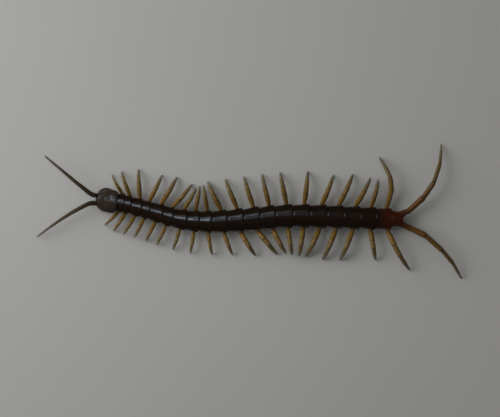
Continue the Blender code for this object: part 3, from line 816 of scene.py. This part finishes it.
def fangs():
    """The plate under the head with its teeth, the two fangs and the mouth's feelers."""
    knots = np.array(FANG_BASE_SECTIONS)
    station = np.linspace(knots[0, 0], knots[-1, 0], 34)[:, None]
    half_width, low, high = sections(knots, station)
    out, up = closed_outline(FANG_BASE_OUTLINE)
    rows = body_point(station, out * half_width, low + up * (high - low))
    seam = bump(out, 0, 0.04) * (up < 0.5)
    base = Piece()
    base.wall(rows + (seam * FANG_BASE_SEAM)[..., None] * UP, 0.3, seam)
    base.make("fang_base", fang_chitin, "fang_chitin", ["forcipule_base"])
    teeth = Piece()
    tip, nearest, height = TOOTH_PLACE
    back, outwards = TOOTH_STEP
    ahead = -AXIS.along(tip)
    for side in SIDES:
        for i in range(TEETH):
            root = body_point(tip + TOOTH_DEPTH + back * i, nearest + outwards * i, height, side)
            spike(teeth, root, ahead, TOOTH_LENGTH + TOOTH_DEPTH, TOOTH_RADIUS, columns=12, place=0.9)
        name = SIDE_NAMES[side]
        mouth_limb(f"fang_{name}", FANG, side, FANG_JOINTS, 60, 18, [f"forcipule_{name}"])
        mouth_limb(f"mouth_feeler_{name}", PALP, side, PALP_JOINTS, 36, 12)
    teeth.make("fang_teeth", claw_material, "fang_chitin")


def mouth_limb(name, knots, side, joints, count, columns, replaces=()):
    """A curved limb through (station, out, height, radius), waisted at its joints."""
    stations, outs, heights, sizes = smooth(knots, 8).T
    route = Route(body_point(stations, outs, heights, side))
    share = np.linspace(0, 1, count)
    joint = sum(bump(share, place, MOUTH_JOINT_WIDTH) for place in joints)
    radii = np.interp(share * route.length, route.marks, sizes) * (1 - MOUTH_JOINT_WAIST * joint)
    piece = Piece()
    tube(piece, (route.at(share * route.length), radii, share, joint), columns)
    piece.make(name, fang_chitin, "fang_chitin", replaces)


def breathing_pores():
    """An oval rim on each flank, over some of the legs."""
    piece = Piece()
    turn = (np.arange(24) * tau / 24)[:, None]
    around = (np.arange(8) * tau / 8)[None]
    wide = 1 + PORE_RIM * np.cos(around)
    along, out, up = PORE_PLACE
    for number in PORED:
        start, end = segment_span(number)
        station = start + along * (end - start)
        half_width, height = trunk_size(station)
        lengthwise = station + PORE_LENGTH * np.cos(turn) * wide
        outwards = half_width * out + PORE_DEPTH * np.sin(around)
        upwards = BELLY + up * height + PORE_HEIGHT * np.sin(turn) * wide
        for side in SIDES:
            piece.wall(body_point(lengthwise, outwards, upwards, side), 0.5, 0.5, cap=LOOP)
    piece.make("breathing_pores", belly_chitin, "body_chitin")


class Nodes:
    """A material's nodes, wired by name."""

    def __init__(self, name):
        self.material = bpy.data.materials.new(name)
        self.material.use_nodes = True
        self.tree = self.material.node_tree
        self.shader = self.tree.nodes["Principled BSDF"]
        place = self.add("ShaderNodeTexCoord").outputs["Object"]
        self.place = self.add("ShaderNodeMapping", Vector=place, Scale=[1 / MM] * 3).outputs[0]

    def add(self, kind, settings=(), **inputs):
        made = self.tree.nodes.new(kind)
        for key, value in dict(settings).items():
            setattr(made, key, value)
        for key, value in inputs.items():
            self.set(made.inputs[key], value)
        return made

    def set(self, socket, value):
        if isinstance(value, bpy.types.NodeSocket):
            self.tree.links.new(value, socket)
        else:
            socket.default_value = value

    def mark(self, name):
        return self.add("ShaderNodeAttribute", {"attribute_name": name}).outputs["Fac"]

    def noise(self, per_mm, detail=3, rough=0.5):
        inputs = {"Vector": self.place, "Scale": per_mm, "Detail": detail, "Roughness": rough}
        return self.add("ShaderNodeTexNoise", **inputs).outputs["Fac"]

    def pits(self, per_mm):
        made = self.add("ShaderNodeTexVoronoi", Vector=self.place, Scale=per_mm)
        return self.span(made.outputs["Distance"], 0, 0.25, 0, 1)

    def vary(self, per_mm, detail, low, high):
        """Noise that stays between two values."""
        return self.span(self.noise(per_mm, detail), 0.3, 0.7, low, high)

    def blotched(self, colour, per_mm, detail, most, other):
        """A colour with blotches of another one."""
        return self.mix(self.span(self.noise(per_mm, detail), 0.4, 0.7, 0, most), colour, other)

    def edged(self, colour, most, other):
        """A colour that turns to another one where the edge mark is."""
        return self.mix(self.span(self.mark("edge"), 0, 1, 0, most), colour, other)

    def span(self, value, low, high, to_low, to_high):
        made = self.add("ShaderNodeMapRange")
        for i, number in enumerate((value, low, high, to_low, to_high)):
            self.set(made.inputs[i], number)
        return made.outputs[0]

    def mix(self, factor, a, b):
        made = self.add("ShaderNodeMix", {"data_type": "RGBA"})
        for i, value in ((0, factor), (6, a), (7, b)):
            if i and not isinstance(value, bpy.types.NodeSocket):
                value = (*value, 1)
            self.set(made.inputs[i], value)
        return made.outputs[2]

    def math(self, operation, a, b):
        made = self.add("ShaderNodeMath", {"operation": operation})
        self.set(made.inputs[0], a)
        self.set(made.inputs[1], b)
        return made.outputs[0]

    def ramp(self, value, stops):
        made = self.add("ShaderNodeValToRGB", Fac=value)
        points = made.color_ramp.elements
        while len(points) < len(stops):
            points.new(0.5)
        for point, (place, colour) in zip(points, stops):
            point.position = place
            point.color = (*colour, 1)
        return made.outputs["Color"]

    def relief(self, height, depth, strength=1.0, under=None):
        made = self.add("ShaderNodeBump", Height=height, Distance=depth * MM, Strength=strength)
        if under is not None:
            self.set(made.inputs["Normal"], under)
        return made.outputs[0]

    def finish(self, colour, roughness, normal, **others):
        inputs = {"Base_Color": colour, "Roughness": roughness, "Normal": normal, **others}
        for key, value in inputs.items():
            self.set(self.shader.inputs[key.replace("_", " ")], value)
        return self.material


def make_plate_chitin():
    """Near-black plates, brown where they are thin, red-brown at the tail."""
    n = Nodes("back_plates")
    body = n.mix(n.noise(0.7, 4), (0.0066, 0.0037, 0.0017), (0.0150, 0.0078, 0.0034))
    body = n.mix(n.mark("edge"), body, (0.02, 0.009, 0.005))
    tail = n.mix(n.noise(0.9, 4), (0.03, 0.0054, 0.0017), (0.052, 0.0094, 0.0028))
    where = n.math("ADD", n.mark("place"), n.span(n.noise(0.8), 0.3, 0.7, -0.006, 0.006))
    colour = n.mix(n.span(where, 0.905, 0.952, 0, 1), body, tail)
    roughness = n.vary(1.6, 4, 0.24, 0.34)
    normal = n.relief(n.noise(7, 3), 0.0015, 0.3, n.relief(n.pits(4.5), 0.002, 0.3))
    return n.finish(colour, roughness, normal, Coat_Weight=1.0, Coat_Roughness=0.06, Specular_IOR_Level=0.3)


def make_belly_chitin():
    """Brown plates, redder at the tail and darker in their grooves."""
    n = Nodes("belly_plates")
    body = n.mix(n.noise(0.9, 4), (0.02, 0.012, 0.008), (0.05, 0.028, 0.016))
    tail = n.mix(n.noise(0.9, 4), (0.05, 0.012, 0.005), (0.1, 0.026, 0.01))
    colour = n.mix(n.span(n.mark("place"), 0.9, 0.965, 0, 1), body, tail)
    colour = n.edged(colour, 0.7, (0.012, 0.007, 0.005))
    roughness = n.vary(2, 4, 0.26, 0.42)
    normal = n.relief(n.noise(7, 3), 0.005, 0.6)
    return n.finish(colour, roughness, normal, Coat_Weight=0.3, Coat_Roughness=0.15)


def make_skin_material():
    """Leathery, dull joint skin, darker where small hard plates lie in it."""
    n = Nodes("joint_skin")
    soft = n.mix(n.noise(1.4, 5), (0.028, 0.013, 0.01), (0.06, 0.028, 0.018))
    tail = n.mix(n.noise(1.4, 5), (0.05, 0.012, 0.006), (0.1, 0.025, 0.01))
    soft = n.mix(n.span(n.mark("place"), 0.9, 0.96, 0, 1), soft, tail)
    colour = n.mix(n.mark("edge"), (0.014, 0.008, 0.006), soft)
    roughness = n.span(n.mark("edge"), 0, 1, 0.3, 0.52)
    normal = n.relief(n.noise(5, 5, 0.6), 0.03, 0.7, n.relief(n.pits(7), 0.015, 0.5))
    return n.finish(colour, roughness, normal)


def make_leg_chitin(name, stops, joint):
    """Satin amber chitin that turns olive and grey towards the claw."""
    n = Nodes(name)
    where = n.math("ADD", n.mark("place"), n.vary(1.2, 3, -0.03, 0.03))
    colour = n.ramp(where, stops)
    darker = n.mix(0.5, colour, (0.02, 0.012, 0.006))
    colour = n.mix(n.span(n.noise(2.4, 5, 0.6), 0.4, 0.75, 0, 0.7), colour, darker)
    colour = n.edged(colour, 0.85, joint)
    roughness = n.vary(3, 4, 0.24, 0.4)
    normal = n.relief(n.noise(9, 3), 0.006, 0.6, n.relief(n.noise(2.2, 2), 0.02, 0.35))
    return n.finish(
        colour, roughness, normal,
        Coat_Weight=0.6, Coat_Roughness=0.12, Subsurface_Weight=0.12,
        Subsurface_Scale=0.4 * MM, Subsurface_Radius=(1, 0.5, 0.2),
    )


def make_head_chitin():
    n = Nodes("head_plates")
    colour = n.mix(n.noise(0.9, 4), (0.016, 0.012, 0.0095), (0.034, 0.024, 0.018))
    colour = n.edged(colour, 0.6, (0.03, 0.015, 0.009))
    roughness = n.vary(1.8, 4, 0.22, 0.34)
    normal = n.relief(n.pits(5), 0.008, 0.5, n.relief(n.noise(8, 3), 0.004, 0.5))
    return n.finish(colour, roughness, normal, Coat_Weight=0.9, Coat_Roughness=0.07)


def make_fang_chitin():
    n = Nodes("fangs")
    colour = n.ramp(n.mark("place"), [
        (0, (0.026, 0.013, 0.008)), (0.5, (0.036, 0.017, 0.009)),
        (0.78, (0.034, 0.013, 0.006)), (0.92, (0.006, 0.004, 0.003)),
    ])
    colour = n.mix(n.span(n.noise(1.5, 4), 0.35, 0.7, 0, 0.5), colour, (0.02, 0.008, 0.005))
    colour = n.edged(colour, 0.7, (0.012, 0.006, 0.004))
    roughness = n.vary(2, 4, 0.18, 0.32)
    normal = n.relief(n.noise(7, 3), 0.005, 0.6)
    return n.finish(colour, roughness, normal, Coat_Weight=0.5, Coat_Roughness=0.1)


def make_antenna_chitin():
    n = Nodes("feelers")
    colour = n.ramp(n.mark("place"), [
        (0, (0.026, 0.016, 0.01)), (0.25, (0.05, 0.034, 0.018)), (0.6, (0.068, 0.05, 0.03)),
        (0.8, (0.1, 0.085, 0.065)), (1, (0.16, 0.15, 0.125)),
    ])
    colour = n.edged(colour, 0.6, (0.02, 0.012, 0.008))
    colour = n.blotched(colour, 2.5, 4, 0.4, (0.02, 0.013, 0.008))
    roughness = n.span(n.mark("place"), 0.1, 0.3, 0.3, 0.5)
    normal = n.relief(n.noise(10, 3), 0.008, 0.7)
    return n.finish(colour, roughness, normal)


def make_eye_material():
    n = Nodes("simple_eyes")
    colour = n.mix(n.noise(4, 2), (0.002, 0.002, 0.003), (0.008, 0.006, 0.006))
    roughness = n.vary(6, 2, 0.05, 0.1)
    normal = n.relief(n.noise(8, 1), 0.001, 0.2)
    return n.finish(colour, roughness, normal, Coat_Weight=1.0, Coat_Roughness=0.03)


def make_claw_material():
    """Black-brown points, browner at their roots."""
    n = Nodes("claws")
    colour = n.mix(n.mark("edge"), (0.05, 0.025, 0.011), (0.006, 0.004, 0.003))
    colour = n.blotched(colour, 6, 3, 0.5, (0.012, 0.007, 0.004))
    roughness = n.vary(9, 2, 0.18, 0.3)
    normal = n.relief(n.noise(14, 2), 0.002, 0.4)
    return n.finish(colour, roughness, normal)


def make_hair_material():
    n = Nodes("hairs")
    colour = n.mix(n.mark("edge"), (0.06, 0.042, 0.022), (0.13, 0.1, 0.06))
    colour = n.blotched(colour, 3, 2, 0.5, (0.05, 0.035, 0.02))
    roughness = n.vary(5, 2, 0.35, 0.5)
    normal = n.relief(n.noise(20, 1), 0.001, 0.2)
    return n.finish(colour, roughness, normal)


def make_floor_material():
    """A plain pale floor, hardly uneven in tone and a little glossy."""
    n = Nodes("pale_floor")
    colour = n.mix(n.noise(0.02, 3), (0.33, 0.327, 0.313), (0.35, 0.347, 0.333))
    roughness = n.vary(0.05, 3, 0.5, 0.6)
    normal = n.relief(n.noise(0.4, 2), 0.01, 0.1)
    return n.finish(colour, roughness, normal, Specular_IOR_Level=0.15)


# The legs' colours from root to claw.
LEG_STOPS = [
    (0, (0.03, 0.013, 0.006)), (0.13, (0.092, 0.05, 0.01)), (0.3, (0.152, 0.092, 0.018)),
    (0.5, (0.135, 0.09, 0.027)), (0.7, (0.12, 0.096, 0.046)), (0.88, (0.12, 0.109, 0.084)),
    (1, (0.125, 0.113, 0.092)),
]
LAST_LEG_STOPS = [
    (0, (0.05, 0.01, 0.004)), (0.14, (0.055, 0.015, 0.004)), (0.3, (0.082, 0.034, 0.007)),
    (0.5, (0.098, 0.052, 0.014)), (0.7, (0.11, 0.076, 0.03)), (0.88, (0.14, 0.124, 0.08)),
    (1, (0.14, 0.128, 0.098)),
]

plate_chitin = make_plate_chitin()
belly_chitin = make_belly_chitin()
skin_material = make_skin_material()
leg_chitin = make_leg_chitin("legs", LEG_STOPS, (0.035, 0.018, 0.007))
last_leg_chitin = make_leg_chitin("last_legs", LAST_LEG_STOPS, (0.045, 0.016, 0.006))
head_chitin = make_head_chitin()
fang_chitin = make_fang_chitin()
antenna_chitin = make_antenna_chitin()
eye_material = make_eye_material()
claw_material = make_claw_material()
hair_material = make_hair_material()
claws = {RIGHT: Piece(), LEFT: Piece()}


def floor():
    mesh = bpy.data.meshes.new("floor")
    half = FLOOR_SIZE * MM / 2
    corners = [(-half, -half, 0), (half, -half, 0), (half, half, 0), (-half, half, 0)]
    mesh.from_pydata(corners, [], [(0, 1, 2, 3)])
    mesh.materials.append(make_floor_material())
    made = placed("floor", mesh)


def area_light(name, place, aim, size, power, colour):
    """A soft rectangular light. Place and aim are in millimetres, size is (width, depth)."""
    data = bpy.data.lights.new(name, "AREA")
    data.shape = "RECTANGLE"
    data.size, data.size_y = (side * MM for side in size)
    data.energy = power
    data.color = colour
    made = placed(name, data)
    made.location = Vector(place) * MM
    made.rotation_euler = (Vector(aim) - Vector(place)).to_track_quat("-Z", "Y").to_euler()
    made.visible_camera = False


def lights():
    """A bright overcast room: light from everywhere, and lamps for the gloss to show."""
    sun = bpy.data.lights.new("daylight", "SUN")
    sun.energy = DAYLIGHT
    sun.angle = radians(DAYLIGHT_SPREAD)
    sun.color = (1.0, 0.985, 0.95)
    made = placed("daylight", sun)
    made.rotation_euler = Vector(DAYLIGHT_WAY).to_track_quat("-Z", "Y").to_euler()
    made.visible_glossy = False
    for lamp in LAMPS:
        area_light(*lamp)
    bpy.data.objects["side_light"].visible_glossy = False
    for i, (end, near, radiance, colour) in enumerate(SKY_SHEETS):
        width, depth = end - SKY_START, SKY_FAR - near
        middle = (end - width / 2, near + depth / 2, CAMERA_DISTANCE + SKY_STEP * i)
        power = pi * radiance * width * depth * MM**2
        area_light(f"sky_{end}", middle, (middle[0], middle[1], 0), (width, depth), power, colour)
    world = bpy.data.worlds.new("soft_room")
    world.use_nodes = True
    nodes, links = world.node_tree.nodes, world.node_tree.links
    background = nodes["Background"]
    background.inputs["Color"].default_value = (1.0, 0.985, 0.96, 1)
    rays = nodes.new("ShaderNodeLightPath")
    dim = nodes.new("ShaderNodeMapRange")
    dim.inputs["To Min"].default_value = ROOM_LIGHT
    dim.inputs["To Max"].default_value = ROOM_GLOSS
    links.new(rays.outputs["Is Glossy Ray"], dim.inputs["Value"])
    links.new(dim.outputs[0], background.inputs["Strength"])
    bpy.context.scene.world = world


def camera():
    data = bpy.data.cameras.new("camera")
    data.lens = data.sensor_width * CAMERA_DISTANCE / VIEW_WIDTH
    data.clip_start, data.clip_end = 0.01, 50
    made = placed("camera", data)
    tilt = radians(CAMERA_TILT)
    made.location = (Vector(CAMERA_AIM) + Vector((0, sin(tilt), cos(tilt))) * CAMERA_DISTANCE) * MM
    made.rotation_euler = (-tilt, 0, 0)
    bpy.context.scene.camera = made


def legs():
    """All the legs, their claws, and the few stiff hairs on them."""
    for side in SIDES:
        hairs = Piece()
        for number in range(1, SEGMENTS + 1):
            rows, away = leg(number, side) if number < SEGMENTS else last_leg(side)
            third = len(rows) // 3
            plant(hairs, rows[third:-5], away[third:-5], side, *LEG_HAIRS)
        claws[side].make(f"claws_{SIDE_NAMES[side]}", claw_material, "leg_chitin")
        hairs.make_coat(f"leg_hairs_{SIDE_NAMES[side]}", hair_material, "leg_chitin")


camera()
lights()
floor()
skin()
for segment in range(1, SEGMENTS + 1):
    tergite(segment)
    sternite(segment)
breathing_pores()
head_plate()
head_capsule()
simple_eyes()
fangs()
for side in SIDES:
    antenna(side)
legs()
